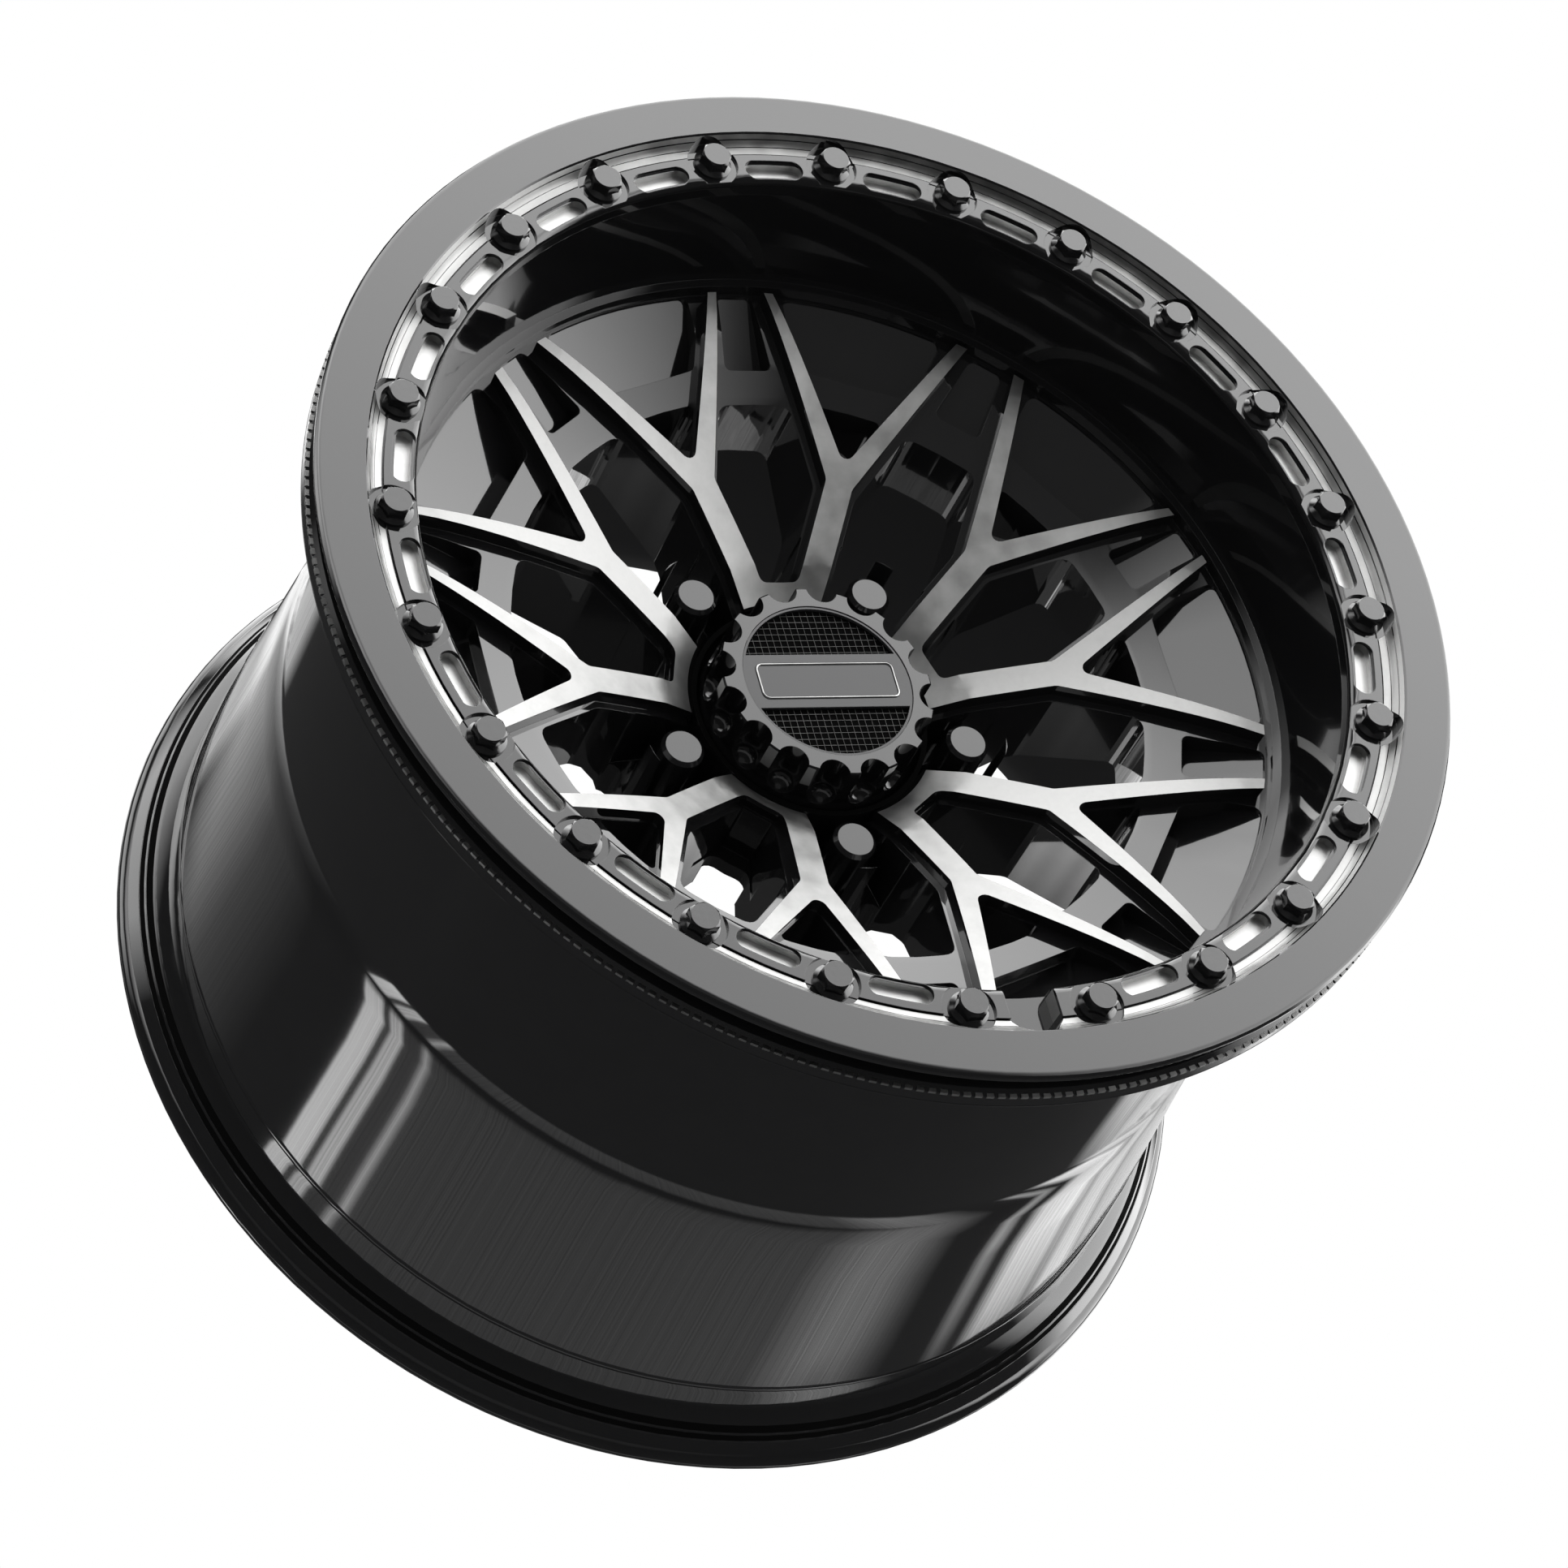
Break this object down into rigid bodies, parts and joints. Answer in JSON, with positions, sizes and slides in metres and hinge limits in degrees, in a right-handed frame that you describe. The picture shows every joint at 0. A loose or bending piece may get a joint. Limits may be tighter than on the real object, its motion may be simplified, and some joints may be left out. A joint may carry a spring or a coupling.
{
  "type": "beadlock wheel",
  "caption": "Deep dish cast wheel with forked spokes, a bolted ring that clamps the outer tyre bead, a fluted hub cap and closed lug nuts.",
  "frame": {"origin": "on the wheel's axis, in the plane of the inboard flange's edge that the wheel rests on", "axes": "+Z along the axis towards the street side, +X through the valve, the ring's notch and one lug"},
  "size_m": [0.5423, 0.5424, 0.356],
  "materials": {
    "wheel": "gloss black paint, with bright machined spoke faces and mounting face",
    "beadlock_ring": "gloss black paint, with a bright turned inner wall and bright slot floors",
    "ring_bolts": "black coated steel",
    "thread_inserts": "plain steel",
    "lug_nuts": "gloss black steel",
    "cap_body": "gloss black",
    "cap_badge": "satin dark grey bar between black fields",
    "cap_retaining_ring": "spring steel wire",
    "valve_stem": "nickel plated",
    "valve_core": "plain brass",
    "valve_grommet": "black rubber",
    "valve_washer": "plain steel",
    "valve_nut": "nickel plated",
    "valve_cap": "black plastic"
  },
  "bodies": {
    "root": {"wheel": "wheel", "beadlock_ring": "beadlock_ring", "ring_bolts": "ring_bolts", "thread_inserts": "thread_inserts", "lug_nuts": "lug_nuts", "cap_body": "cap_body", "cap_badge": "cap_badge", "cap_retaining_ring": "cap_retaining_ring", "valve_stem": "valve_stem", "valve_core": "valve_core", "valve_grommet": "valve_grommet", "valve_washer": "valve_washer", "valve_nut": "valve_nut", "valve_cap": "valve_cap"}
  },
  "joints": []
}
